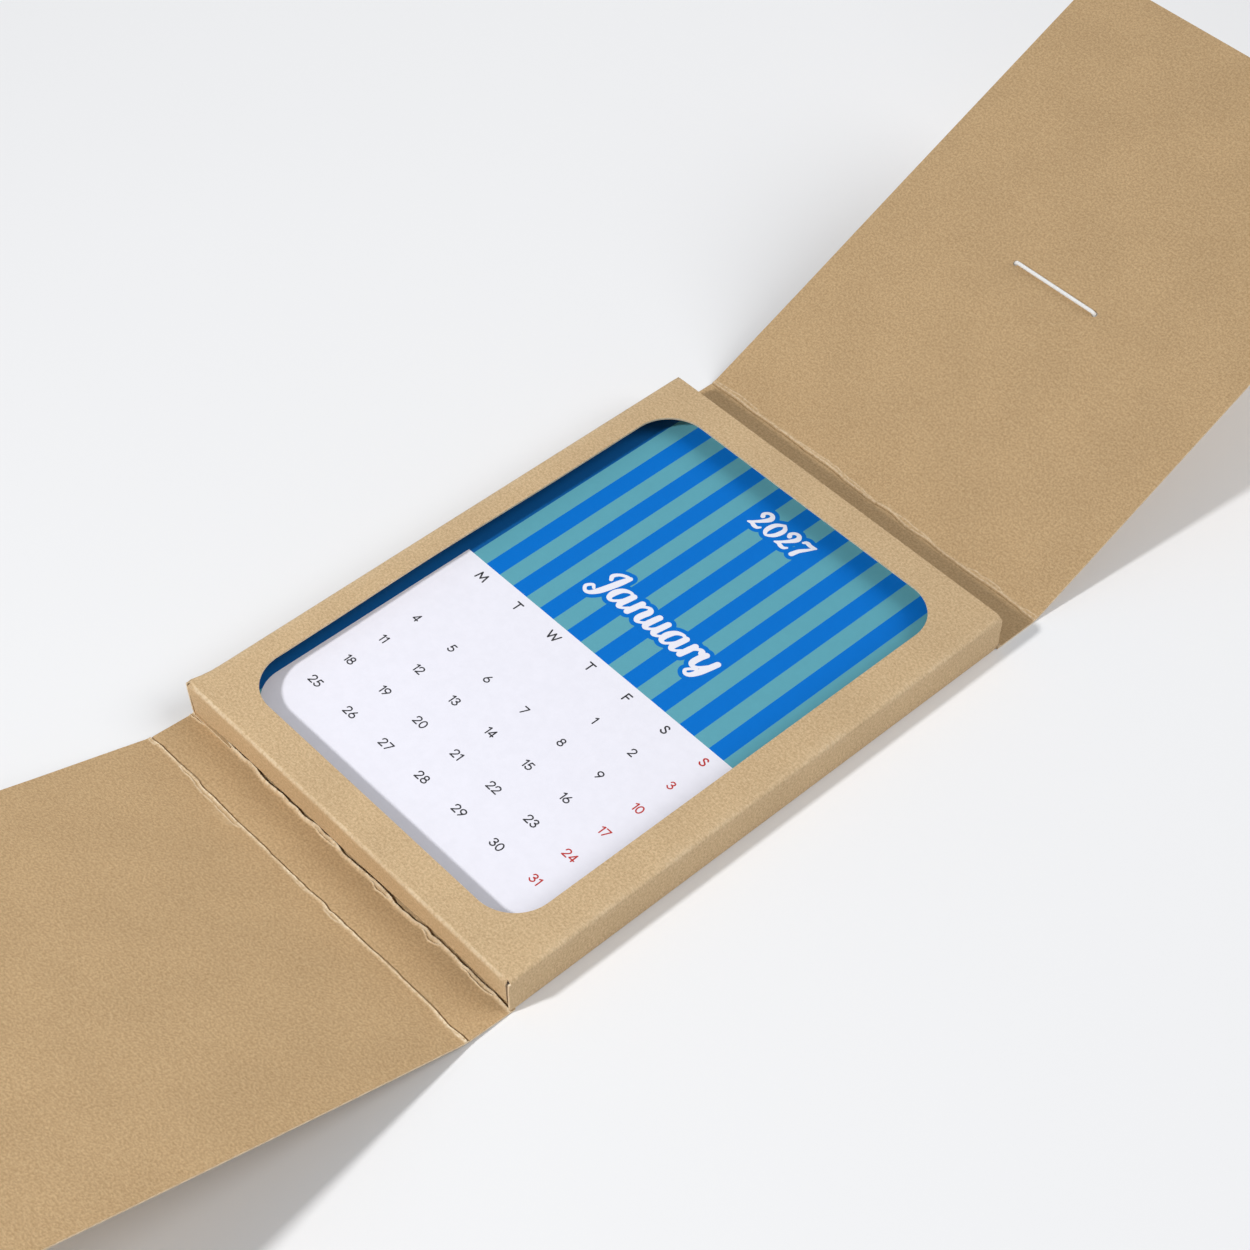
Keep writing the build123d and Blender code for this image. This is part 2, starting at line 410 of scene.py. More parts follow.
# Print, with the colour that each ink has where it lies thin and where it is full
WHITE = (0.845, 0.838, 0.917, 1)
BLUE = (0.0, 0.16, 0.60, 1)
# Painted shade: the blue stripe as it looks in the shade under the window's left rim
PAINTED_SHADE_BLUE = (0.004, 0.1, 0.33, 1)
TEAL = (0.112, 0.368, 0.452, 1)
INK_SPREAD = (6000.0, 2.0, 0.6)
INKS = {
    "black_ink": ((0.06, 0.06, 0.065, 1), (0.028, 0.028, 0.032, 1)),
    "red_ink": ((0.52, 0.07, 0.065, 1), (0.50, 0.035, 0.03, 1)),
    "white_ink": ((0.82, 0.815, 0.89, 1), WHITE),
    "blue_ink": ((0.0, 0.155, 0.585, 1), BLUE),
}

# Light: a lamp over the lower left, a broad soft one from the upper right, and an even sky
KEY_PLACE = (-190.0, -890.0, 840.0)
KEY_RADIUS = 52.0
KEY_CONE = 120.0
KEY_BLEND = 1.0
KEY_POWER = 41.0
FILL_TRAVEL = (-0.8, -0.8, -1.0)
FILL_SPREAD = 40.0
FILL_STRENGTH = 1.35
SKY_STRENGTH = 0.31
SKY_SEEN = 0.95
SKY_COLOUR = (0.96, 0.98, 1.0, 1)

# Floor, in metres: darker towards the lamp, so that it keeps one tone, and lost in the sky far off
FLOOR_NEAR = (0.598, 0.6, 0.608, 1)
FLOOR_FAR = (0.952, 0.955, 0.966, 1)
FLOOR_SLOPE = (0.2, 0.6)
FLOOR_SPAN = (-0.31, 0.11)
FLOOR_FADE = (0.4, 0.85)
FLOOR_CLOUD = (3.0, 2.0)
FLOOR_SHADES = ((0.985, 0.985, 0.988, 1), (1, 1, 1, 1))
FLOOR_ROUGHNESS = 0.9
FLOOR_GLOSS = 0.1
FLOOR_REACH = 6.0
FLOOR_DROP = 0.00002

# Camera, as solved from the photograph, with its clipping distances in metres
EYE = (308.136, -287.253, 491.322)
RIGHT = (0.67847571, 0.73445625, 0.01564372)
DOWN = (0.55468552, -0.49821273, -0.66641433)
FORWARD = (-0.48165827, 0.46082328, -0.74541748)
FOCAL_PIXELS = 2739.687
IMAGE_PIXELS = 1250
SENSOR = 36.0
CLIP_START = 0.01
CLIP_END = 50.0

# Sockets of a Mix node that mixes colours: its factor and the two colours, then its result
MIX_SOCKETS = (0, 6, 7)
MIX_RESULT = 2


def value_noise(x, y, seed):
    """Smooth random field between -1 and 1, with features about one unit across."""
    size = 64
    table = np.random.default_rng(seed).uniform(-1, 1, (size, size))
    x, y = np.broadcast_arrays(np.asarray(x, float), np.asarray(y, float))
    column = np.floor(x).astype(int)
    row = np.floor(y).astype(int)
    u = x - column
    v = y - row
    u = u * u * (3 - 2 * u)
    v = v * v * (3 - 2 * v)

    def along(line):
        """The field along one line of the table."""
        return table[column % size, line % size] * (1 - u) + table[(column + 1) % size, line % size] * u

    return along(row) * (1 - v) + along(row + 1) * v


def wander(place, size, length, own_seed, seed=0):
    """Random line of up to that size either way, with features of that length."""
    return size * value_noise(place / length, 0, seed + own_seed)


def bell(value, width, middle=0.0, height=1.0):
    """Smooth hump of that height about its middle."""
    return height * np.exp(-(((value - middle) / width) ** 2))


def slope(value, start, length):
    """0 up to the start, then straight up to 1 over the length."""
    return np.clip((value - start) / length, 0, 1)


def follow(runs, start, at):
    """Places and right-hand normals along runs, each a length and the angle that it turns through."""
    place = np.zeros((len(at), 2))
    normal = np.zeros((len(at), 2))
    joint = np.array(start, float)
    heading = 0.0
    done = 0.0
    for length, turn in runs:
        later = at >= done - TINY
        along = at[later] - done
        if turn:
            radius = length / turn
            angle = heading + along / radius
            step = radius * np.stack([np.sin(angle) - sin(heading), cos(heading) - np.cos(angle)], 1)
            end = radius * np.array([sin(heading + turn) - sin(heading), cos(heading) - cos(heading + turn)])
        else:
            angle = np.full(len(along), heading)
            step = np.outer(along, [cos(heading), sin(heading)])
            end = length * np.array([cos(heading), sin(heading)])
        place[later] = joint + step
        normal[later] = np.stack([np.sin(angle), -np.cos(angle)], 1)
        joint = joint + end
        heading += turn
        done += length
    return place, normal


def grid_points(columns, rows):
    """Points where columns and rows cross."""
    return np.stack(np.meshgrid(columns, rows), -1).reshape(-1, 2)


def rounded_rectangle(low, high, radius, spacing):
    """Closed loop of points, anticlockwise, with round corners."""
    steps = round(pi * radius / spacing)
    centres = (
        (high[0] - radius, low[1] + radius, -90),
        (high[0] - radius, high[1] - radius, 0),
        (low[0] + radius, high[1] - radius, 90),
        (low[0] + radius, low[1] + radius, 180),
    )
    corners = []
    for x, y, first in centres:
        angles = np.radians(first + np.linspace(0, 90, steps))
        corners.append(np.stack([x + radius * np.cos(angles), y + radius * np.sin(angles)], 1))
    return subdivide(np.concatenate(corners), spacing)


def subdivide(loop, spacing):
    """The loop with points added, so that none of its edges is longer than the spacing."""
    made = []
    for a, b in zip(loop, np.roll(loop, -1, axis=0)):
        count = max(1, int(np.ceil(np.linalg.norm(b - a) / spacing - TINY)))
        made.append(a + (b - a) * np.arange(count)[:, None] / count)
    return np.concatenate(made)


def cut_sheet(points, loops, inside):
    """Flat points and the triangles of a sheet cut along closed loops."""
    coords = [Vector(point) for point in points]
    edges = []
    for loop in loops:
        first = len(coords)
        coords += [Vector(point) for point in loop]
        edges += [(first + i, first + (i + 1) % len(loop)) for i in range(len(loop))]
    flat, _, triangles, *_ = geometry.delaunay_2d_cdt(coords, edges, [], WHOLE_HULL, MERGE_DISTANCE)
    flat = np.array([point[:] for point in flat])
    triangles = np.array([face for face in triangles if len(face) == 3])
    middle = flat[triangles].mean(1)
    triangles = triangles[inside(middle[:, 0], middle[:, 1])]
    used, compact = np.unique(triangles, return_inverse=True)
    return flat[used], compact.reshape(-1, 3)


def add_object(name, data):
    """New object in the scene."""
    made = bpy.data.objects.new(name, data)
    bpy.context.scene.collection.objects.link(made)
    return made


def add_mesh(name, points, faces, materials):
    """New mesh object from points in metres."""
    mesh = bpy.data.meshes.new(name)
    mesh.from_pydata(points, [], faces)
    for material in materials:
        mesh.materials.append(material)
    return add_object(name, mesh)


def board_object(name, flat, triangles, outer, inner, wear_and_shade):
    """Closed mesh of a sheet from its outer and inner faces, with raw edges between them."""
    count = len(flat)
    a, b, c = (outer[triangles[:, index]] for index in range(3))
    out_way = (outer - inner)[triangles[:, 0]]
    flip = (np.cross(b - a, c - a) * out_way).sum(1).sum() < 0
    faces_out = triangles[:, ::-1] if flip else triangles
    edges = np.concatenate([faces_out[:, [0, 1]], faces_out[:, [1, 2]], faces_out[:, [2, 0]]])
    known = {tuple(edge) for edge in edges}
    rim = np.array([edge for edge in edges if (edge[1], edge[0]) not in known])
    sides = np.stack([rim[:, 1], rim[:, 0], rim[:, 0] + count, rim[:, 1] + count], 1)
    faces = [*faces_out.tolist(), *(faces_out[:, ::-1] + count).tolist(), *sides.tolist()]
    made = add_mesh(name, np.concatenate([outer, inner]) * MM, faces, KRAFT)
    mesh = made.data
    mesh.shade_smooth()
    kinds = np.repeat([0, 1, 2], [len(triangles), len(triangles), len(sides)])
    mesh.polygons.foreach_set("material_index", kinds)
    corners = np.zeros(len(mesh.loops), int)
    mesh.loops.foreach_get("vertex_index", corners)
    uv = mesh.uv_layers.new(name="sheet")
    uv.uv.foreach_set("vector", (flat[corners % count] * MM).ravel())
    # Wear of the board, and painted shade in the furrows where the value is below 0
    wear_and_shade_values = mesh.attributes.new("wear_and_shade", "FLOAT", "POINT")
    wear_and_shade_values.data.foreach_set("value", np.concatenate([wear_and_shade, wear_and_shade]))
    mesh.set_sharp_from_angle(angle=radians(SHARP_ANGLE))
    return made


def connect(tree, socket, value):
    """Links another socket to this one, or sets its value."""
    if isinstance(value, bpy.types.NodeSocket):
        tree.links.new(value, socket)
    else:
        socket.default_value = value


def node(tree, kind, inputs=None, **settings):
    """New shader node with its settings and inputs."""
    made = tree.nodes.new("ShaderNode" + kind)
    for name, value in settings.items():
        setattr(made, name, value)
    for name, value in (inputs or {}).items():
        connect(tree, made.inputs[name], value)
    return made


def mix(tree, factor, a, b, blend_type="MIX"):
    """Colour between a and b."""
    made = node(tree, "Mix", data_type="RGBA", blend_type=blend_type)
    for index, value in zip(MIX_SOCKETS, (factor, a, b)):
        connect(tree, made.inputs[index], value)
    return made.outputs[MIX_RESULT]


def calc(tree, operation, *values):
    """Result of a Math node."""
    made = node(tree, "Math", operation=operation)
    for socket, value in zip(made.inputs, values):
        connect(tree, socket, value)
    return made.outputs[0]


def ramp(tree, value, low, high):
    """Smooth step from 0 at low to 1 at high."""
    inputs = {"Value": value, "From Min": low, "From Max": high}
    return node(tree, "MapRange", inputs, interpolation_type="SMOOTHSTEP").outputs[0]


def between(tree, share, low, high):
    """Value from low, where the share is 0, to high, where it is 1."""
    return node(tree, "MapRange", {"Value": share, "To Min": low, "To Max": high}).outputs[0]


def noise(tree, vector, scale, detail, roughness=0.5, distortion=0.0):
    """Grey noise with a scale in features per metre."""
    inputs = {"Vector": vector, "Scale": scale, "Detail": detail, "Roughness": roughness}
    return node(tree, "TexNoise", {**inputs, "Distortion": distortion}).outputs[0]


def layers(tree, vector, scales, detail, roughness):
    """Grey noise drawn out into layers, with a scale for each axis."""
    scaled = node(tree, "Mapping", {"Vector": vector, "Scale": scales}).outputs[0]
    return noise(tree, scaled, 1.0, detail, roughness)


def fibres(tree, vector, angle, length, width, low, high):
    """Thin strokes of about that length and width, in metres, lying at an angle."""
    inputs = {"Vector": vector, "Rotation": (0, 0, radians(angle)), "Scale": (1 / length, 1 / width, 1.0)}
    turned = node(tree, "Mapping", inputs).outputs[0]
    return ramp(tree, noise(tree, turned, *FIBRE_NOISE), low, high)


def new_material(name):
    """Material with its tree and its shader."""
    material = bpy.data.materials.new(name)
    material.use_nodes = True
    return material, material.node_tree, material.node_tree.nodes["Principled BSDF"]


def object_place(tree):
    """Place on the object, in metres."""
    return node(tree, "TexCoord").outputs["Object"]


def finish_surface(tree, shader, colour, height, bump, roughness, gloss):
    """Colour of a surface, its bump as a strength and a depth, its roughness and its gloss."""
    strength, depth = bump
    normal = node(tree, "Bump", {"Height": height, "Strength": strength, "Distance": depth}).outputs[0]
    inputs = {"Base Color": colour, "Normal": normal, "Roughness": roughness, "Specular IOR Level": gloss}
    for name, value in inputs.items():
        connect(tree, shader.inputs[name], value)


def kraft_material(name, tint):
    """Brown kraft board: mottled, with pale and dark fibres, rubbed pale on folds, with painted shade
    darkening the furrows beside the creases.
    """
    material, tree, shader = new_material(name)
    sheet = node(tree, "UVMap", uv_map="sheet").outputs[0]
    grain = noise(tree, sheet, *GRAIN)
    pale = [fibres(tree, sheet, *sizes) for sizes in PALE_FIBRES]
    dark = [fibres(tree, sheet, *sizes) for sizes in DARK_FIBRES]
    colour = mix(tree, ramp(tree, grain, *GRAIN_LEVELS), KRAFT_DARK, KRAFT_PALE)
    shade = mix(tree, ramp(tree, noise(tree, sheet, *CLOUD), *SOFT_LEVELS), *CLOUD_SHADES)
    colour = mix(tree, 1.0, colour, shade, "MULTIPLY")
    for strokes, strength, tone in ((pale, PALE_STRENGTH, PALE_FIBRE), (dark, DARK_STRENGTH, DARK_FIBRE)):
        cover = calc(tree, "MULTIPLY", calc(tree, "MAXIMUM", *strokes), strength)
        colour = mix(tree, cover, colour, tone)
    colour = mix(tree, 1.0, colour, tint, "MULTIPLY")
    wear_and_shade = node(tree, "Attribute", attribute_name="wear_and_shade").outputs["Fac"]
    rubbed = calc(tree, "MULTIPLY", wear_and_shade, ramp(tree, noise(tree, sheet, *RUB), *PATCH_LEVELS))
    colour = mix(tree, rubbed, colour, KRAFT_WORN)
    # Painted shade: where the attribute is below 0, in the furrows beside the creases, the colour goes
    # towards dark brown
    colour = mix(tree, calc(tree, "MULTIPLY", wear_and_shade, -1.0), colour, KRAFT_PAINTED_CREASE_SHADE)
    raised = calc(tree, "MULTIPLY", calc(tree, "MAXIMUM", pale[0], dark[0]), FIBRE_HEIGHT)
    height = calc(tree, "ADD", grain, raised)
    roughness = between(tree, grain, *KRAFT_ROUGHNESS)
    finish_surface(tree, shader, colour, height, KRAFT_BUMP, roughness, KRAFT_GLOSS)
    return material


def raw_edge_material():
    """Cut edge of the board: paler, with the layers of fibre showing."""
    material, tree, shader = new_material("kraft_cut_edge")
    place = object_place(tree)
    edge = layers(tree, place, *EDGE_LAYERS)
    colour = mix(tree, ramp(tree, edge, *SOFT_LEVELS), *EDGE_COLOURS)
    finish_surface(tree, shader, colour, edge, EDGE_BUMP, EDGE_ROUGHNESS, EDGE_GLOSS)
    return material


def paper_finish(tree, shader, colour, place):
    """Smooth uncoated paper: a trace of mottling in its colour and a fine tooth."""
    tooth = noise(tree, place, *TOOTH)
    shade = mix(tree, ramp(tree, noise(tree, place, *MOTTLE), *BROAD_LEVELS), *PAPER_SHADES)
    colour = mix(tree, 1.0, colour, shade, "MULTIPLY")
    roughness = between(tree, tooth, *PAPER_ROUGHNESS)
    finish_surface(tree, shader, colour, tooth, PAPER_BUMP, roughness, PAPER_GLOSS)


def card_material():
    """Plain white card, for the months that lie under the top one."""
    material, tree, shader = new_material("month_card")
    place = object_place(tree)
    edge = ramp(tree, layers(tree, place, *CARD_LAYERS), *SOFT_LEVELS)
    paper_finish(tree, shader, mix(tree, edge, CARD_GREY, WHITE), place)
    return material


def printed_card_material():
    """Top card: stripes over its upper half, a white field with round corners for the dates below, and a
    painted shade of dark blue along its left side.
    """
    material, tree, shader = new_material("printed_card")
    place = object_place(tree)
    axes = node(tree, "SeparateXYZ", {"Vector": place}).outputs
    x, y = (calc(tree, "MULTIPLY", axis, 1 / MM) for axis in axes[:2])
    turn = calc(tree, "FRACT", calc(tree, "DIVIDE", calc(tree, "SUBTRACT", x, STRIPE_START), 2 * STRIPE))
    colour = mix(tree, calc(tree, "LESS_THAN", turn, 0.5), BLUE, TEAL)
    # Painted shade: left of the edge the card is dark blue, for the blue stripe in the shade of the window's
    # left rim
    colour = mix(tree, calc(tree, "LESS_THAN", x, SHADE_PAINT_EDGE), colour, PAINTED_SHADE_BLUE)
    from_middle = calc(tree, "ABSOLUTE", calc(tree, "SUBTRACT", x, (FIELD_LEFT + FIELD_RIGHT) / 2))
    over_x = calc(tree, "SUBTRACT", from_middle, (FIELD_RIGHT - FIELD_LEFT) / 2 - FIELD_RADIUS)
    over_y = calc(tree, "SUBTRACT", FIELD_BOTTOM + FIELD_RADIUS, y)
    squares = [calc(tree, "POWER", calc(tree, "MAXIMUM", over, 0.0), 2.0) for over in (over_x, over_y)]
    reach = calc(tree, "SQRT", calc(tree, "ADD", *squares))
    below = calc(tree, "LESS_THAN", y, FIELD_TOP)
    field = calc(tree, "MULTIPLY", calc(tree, "LESS_THAN", reach, FIELD_RADIUS), below)
    paper_finish(tree, shader, mix(tree, field, colour, WHITE), place)
    return material


def ink_material(name, thin, full):
    """Printed letters, which take the tooth of the paper under them and print thinner in places."""
    material, tree, shader = new_material(name)
    place = object_place(tree)
    spread = ramp(tree, noise(tree, place, *INK_SPREAD), *PATCH_LEVELS)
    paper_finish(tree, shader, mix(tree, spread, thin, full), place)
    return material


def elastic_material():
    """White braided elastic."""
    material, tree, shader = new_material("white_elastic")
    place = object_place(tree)
    thread = noise(tree, place, *THREAD)
    colour = mix(tree, ramp(tree, thread, *SOFT_LEVELS), *ELASTIC_COLOURS)
    finish_surface(tree, shader, colour, thread, ELASTIC_BUMP, ELASTIC_ROUGHNESS, ELASTIC_GLOSS)
    shader.inputs["Sheen Weight"].default_value = ELASTIC_SHEEN
    return material


KRAFT = [
    kraft_material("kraft_outer_face", KRAFT_OUTER),
    kraft_material("kraft_inner_face", KRAFT_INNER),
    raw_edge_material(),
]


def end_edge(s):
    """Lower edge of the end wall, which stands off the desk most towards the right."""
    x = FRONT_X - (s - FRONT_FROM)
    return FOLD_V - END_DROP + bell(x, *END_EDGE_RISE) - bell(x, *END_EDGE_DIP)


def in_window(s, v, margin):
    """Whether places of the flat pattern lie in the window or within the margin of it."""
    middle = (WINDOW_LOW + WINDOW_HIGH) / 2
    half = (WINDOW_HIGH - WINDOW_LOW) / 2 - WINDOW_RADIUS
    over_s = np.maximum(np.abs(s - middle[0]) - half[0], 0)
    over_v = np.maximum(np.abs(v - middle[1]) - half[1], 0)
    return np.hypot(over_s, over_v) < WINDOW_RADIUS + margin


def in_sleeve(s, v, margin=0.0):
    """Whether places of the flat pattern lie on the sheet, at least the margin from its edges."""
    low = np.where(s < BACK_TO, BACK_END, -HALF_LENGTH)
    low = np.where((s > BACK_TO) & (s < FLAP_FROM), WALL_END, low)
    low = np.where((s > WALL_TO - TINY) & (s < LEFT_FROM + TINY), FOLD_V, low)
    low = np.where((s > FRONT_FROM + margin) & (s < FRONT_TO - margin), end_edge(s), low)
    kept = (v > low + margin) & (v < HALF_LENGTH - margin) & (s > margin) & (s < FLAP_TO - margin)
    return kept & ~in_window(s, v, margin)


def cut_sleeve():
    """Points and triangles of the sleeve's flat pattern."""
    across = np.linspace(FRONT_FROM, FRONT_TO, END_EDGE_POINTS)
    outline = np.concatenate([
        [(0, BACK_END), (BACK_TO, BACK_END), (WALL_FROM, WALL_END), (WALL_TO, WALL_END)],
        [(WALL_TO, FOLD_V), (FRONT_FROM, FOLD_V)],
        np.stack([across, end_edge(across)], 1),
        [(FRONT_TO, FOLD_V), (LEFT_FROM, FOLD_V), (LEFT_FROM, WALL_END), (LEFT_TO, WALL_END)],
        [(FLAP_FROM, -HALF_LENGTH), (FLAP_TO, -HALF_LENGTH), (FLAP_TO, HALF_LENGTH), (0, HALF_LENGTH)],
    ])
    window = rounded_rectangle(WINDOW_LOW, WINDOW_HIGH, WINDOW_RADIUS, WINDOW_STEP)
    columns = np.concatenate([
        np.arange(a, b, (b - a) / (FOLD_STEPS if turn else round((b - a) / PANEL_STEP)))
        for a, b, (_, turn) in zip(SLEEVE_ENDS, SLEEVE_ENDS[1:], SLEEVE_RUNS)
    ])
    fold_rows = FOLD_V - np.linspace(0, END_FOLD_LENGTH, FOLD_STEPS + 1)
    rows = np.concatenate([
        np.arange(FOLD_V - END_DROP, fold_rows[-1] - ROOM_BELOW_FOLD, END_WALL_STEP),
        fold_rows,
        np.arange(FOLD_V + ROOM_ABOVE_FOLD, HALF_LENGTH, PANEL_STEP),
    ])
    grid = grid_points(columns, rows)
    grid = grid[in_sleeve(grid[:, 0], grid[:, 1], GRID_MARGIN)]
    return cut_sheet(grid, [subdivide(outline, EDGE_STEP), window], in_sleeve)


def fold_sleeve(s, v):
    """Middle of the folded sheet, its outward normals, and how far past the end fold each place lies."""
    place, out = follow(SLEEVE_RUNS, (-HALF_WIDTH, BOARD / 2), s)
    middle = np.stack([place[:, 0], v, place[:, 1]], 1)
    normal = np.stack([out[:, 0], np.zeros(len(s)), out[:, 1]], 1)
    on_end = (s > FRONT_FROM - TINY) & (s < FRONT_TO + TINY) & (v < FOLD_V)
    past = np.where(on_end, FOLD_V - v, 0.0)
    bend, _ = follow(((END_FOLD_LENGTH, -pi / 2), (END_DROP, 0)), (0, 0), past)
    angle = np.clip(past / END_FOLD, 0, pi / 2)
    lean = END_WALL_LEAN * slope(past, END_FOLD_LENGTH, END_DROP - END_FOLD_LENGTH)
    middle[:, 1] = np.where(on_end, FOLD_V - bend[:, 0] + lean, middle[:, 1])
    middle[:, 2] = np.where(on_end, HEIGHT - BOARD / 2 + bend[:, 1], middle[:, 2])
    normal[on_end] = np.stack([np.zeros(on_end.sum()), -np.sin(angle[on_end]), np.cos(angle[on_end])], 1)
    return middle, normal, past


def use_sleeve(middle, normal, s, past):
    """The folded sheet as use has left it, not quite straight or flat."""
    middle = middle.copy()
    on_end = past > 0

    # The lower left corner is pushed outwards, and the end wall reaches it there
    x, y, z = middle.T
    flare = slope(-x, *FLARE_SLOPE_X) ** 2 * bell(y, FLARE_WIDTH_Y, -HALF_LENGTH) * slope(z, *FLARE_SLOPE_Z)
    closing = np.where(on_end, slope(-x, *CLOSING_SLOPE_X), 0)
    middle[:, 0] -= CORNER_FLARE * flare + CORNER_CLOSING * closing

    # The left rim is cut with a slight bow, and neither the front nor the right wall is quite flat
    on_front = (s > FRONT_FROM) & (s < FRONT_TO) & ~on_end
    left = slope(-x, *RIM_SLOPE_X) * slope(x, -HALF_WIDTH, RIMS["left"])
    middle[:, 0] -= np.where(on_front, RIM_BOW * left * bell(y, *RIM_BELL_Y), 0)
    front_wave = FRONT_WAVE * value_noise(x / FRONT_WAVE_LENGTH, y / FRONT_WAVE_LENGTH, FRONT_SEED)
    wall_wave = WALL_BULGE * value_noise(y / WALL_WAVE_LENGTH, z / WALL_WAVE_HEIGHT, WALL_SEED)
    wall_wave = wall_wave * np.sin(pi * (s - WALL_FROM) / (WALL_TO - WALL_FROM))
    on_wall = (s > WALL_FROM) & (s < WALL_TO)
    lift = np.where(on_front, front_wave, np.where(on_wall, wall_wave, 0))
    return middle + normal * lift[:, None]


def sleeve_wear(middle, s, past):
    """Wear: strong along the end fold, faint along the long ones."""
    x, y, _ = middle.T
    end_wear = np.where(past > 0, bell(past, END_WEAR_WIDTH, END_FOLD_LENGTH / 2), 0)
    end_wear = end_wear * (END_WEAR + wander(x, *END_WEAR_PATCHES))
    folds = ((WALL_TO + FRONT_FROM) / 2, (FRONT_TO + LEFT_FROM) / 2)
    long_wear = LONG_WEAR * sum(bell(s, LONG_WEAR_WIDTH, fold) for fold in folds)
    long_wear = long_wear * (LONG_WEAR_EVEN + wander(y, *LONG_WEAR_PATCHES))
    return np.clip(end_wear + long_wear, 0, 1)


def make_sleeve():
    """Sleeve: the sheet folded from the back panel to the glue flap, with window and end wall."""
    flat, triangles = cut_sleeve()
    s, v = flat.T
    middle, normal, past = fold_sleeve(s, v)
    middle = use_sleeve(middle, normal, s, past)
    wear_and_shade = sleeve_wear(middle, s, past)
    half_board = normal * BOARD / 2
    made = board_object("sleeve_sheet", flat, triangles, middle + half_board, middle - half_board, wear_and_shade)
    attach(made, "case")
    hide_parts("sleeve")


def crease_line(x, seed):
    """How far a crease wanders from its straight line: it steps aside, and wavers on the way."""
    steps = CREASE_STEP * np.tanh(wander(x, *CREASE_STEPS, seed))
    return steps + wander(x, *CREASE_WAVER, seed) + wander(x, *CREASE_TREMOR, seed)


def crease_relief(x, off, size, seed):
    """Height of the fibres that stand up along a crease, with a furrow on their side towards the sleeve."""
    crest = size * (1 + wander(x, *CREST_WAVES, seed) + wander(x, *CREST_GRAIN, seed))
    bead = crest * np.where(off < 0, bell(off, BEAD_WIDTH_NEAR), bell(off, BEAD_WIDTH_FAR))
    furrow = FURROW_DEPTH * size * bell(off, FURROW_WIDTH, FURROW_OFFSET)
    split = np.clip(wander(x, *STRAND_SPLIT, seed) - STRAND_START, 0, 1)
    strand_off = STRAND_OFFSET + STRAND_REACH * split + wander(x, *STRAND_WAVER, seed)
    strand = size * np.clip(STRAND_RISE * split, 0, STRAND_HEIGHT) * bell(off, STRAND_WIDTH, strand_off)
    return bead - furrow + strand


def fold_room(across):
    """Room that the closed cover leaves above the sleeve's end fold, by the distance from its crease."""
    radius = END_FOLD + BOARD / 2
    short = radius - np.clip(np.abs(across), 0, radius)
    return COVER_ROOM + radius - np.sqrt(radius**2 - short**2)


def strip_outline(v_from, v_to, corner):
    """Edge of a strip of the sheet, with round corners at its far end if it has any."""
    near = [(-HALF_WIDTH, v_from), (HALF_WIDTH, v_from)]
    far = [(HALF_WIDTH, v_to), (-HALF_WIDTH, v_to)]
    if corner:
        turn = np.radians(np.linspace(0, 90, CORNER_STEPS))
        arc = corner * np.stack([np.cos(turn), np.sin(turn)], 1)
        right = np.array([HALF_WIDTH - corner, v_to - corner]) + arc
        far = np.concatenate([right, right[::-1] * (-1, 1)])
    return subdivide(np.concatenate([near, far]), CLOSE_COLUMN)


def strip_grid(v_from, v_to, crease, holes):
    """Points on a strip: close about its crease, wide apart elsewhere, and none at the edges of its holes."""
    close_rows = np.clip(np.arange(crease + CLOSE_BAND[0], crease + CLOSE_BAND[1], CLOSE_ROW), v_from, v_to)
    close_columns = np.arange(-HALF_WIDTH + CLOSE_COLUMN, HALF_WIDTH - CLOSE_COLUMN / 2, CLOSE_COLUMN)
    wide_rows = np.arange(v_from + WIDE_ENDS[0], v_to - WIDE_ENDS[1], WIDE_STEP)
    wide_rows = wide_rows[(wide_rows < crease + OPEN_BAND[0]) | (wide_rows > crease + OPEN_BAND[1])]
    wide_columns = np.linspace(-HALF_WIDTH + WIDE_STEP, HALF_WIDTH - WIDE_STEP, WIDE_COLUMNS)
    grid = np.concatenate([grid_points(close_columns, close_rows), grid_points(wide_columns, wide_rows)])
    grid = grid[(grid[:, 1] > v_from + GRID_ENDS[0]) & (grid[:, 1] < v_to - GRID_ENDS[1])]
    for x, v in holes:
        grid = grid[np.hypot(grid[:, 0] - x, grid[:, 1] - v) > ELASTIC_HOLE + HOLE_MARGIN]
    return grid


def cut_strip(v_from, v_to, crease, holes, corner):
    """Flat points and triangles of a strip of the sheet."""
    angles = np.radians(np.arange(0, 360, HOLE_STEP))
    circle = ELASTIC_HOLE * np.stack([np.cos(angles), np.sin(angles)], 1)
    loops = [strip_outline(v_from, v_to, corner)] + [circle + hole for hole in holes]

    def inside(x, v):
        """Whether places lie on the strip, outside its holes and within its round corners."""
        over_x = np.abs(x) - HALF_WIDTH + corner
        over_v = v - v_to + corner
        kept = (over_x <= 0) | (over_v <= 0) | (np.hypot(over_x, over_v) <= corner)
        for hole_x, hole_v in holes:
            kept &= np.hypot(x - hole_x, v - hole_v) > ELASTIC_HOLE * HOLE_CHORD
        return kept

    return cut_sheet(strip_grid(v_from, v_to, crease, holes), loops, inside)


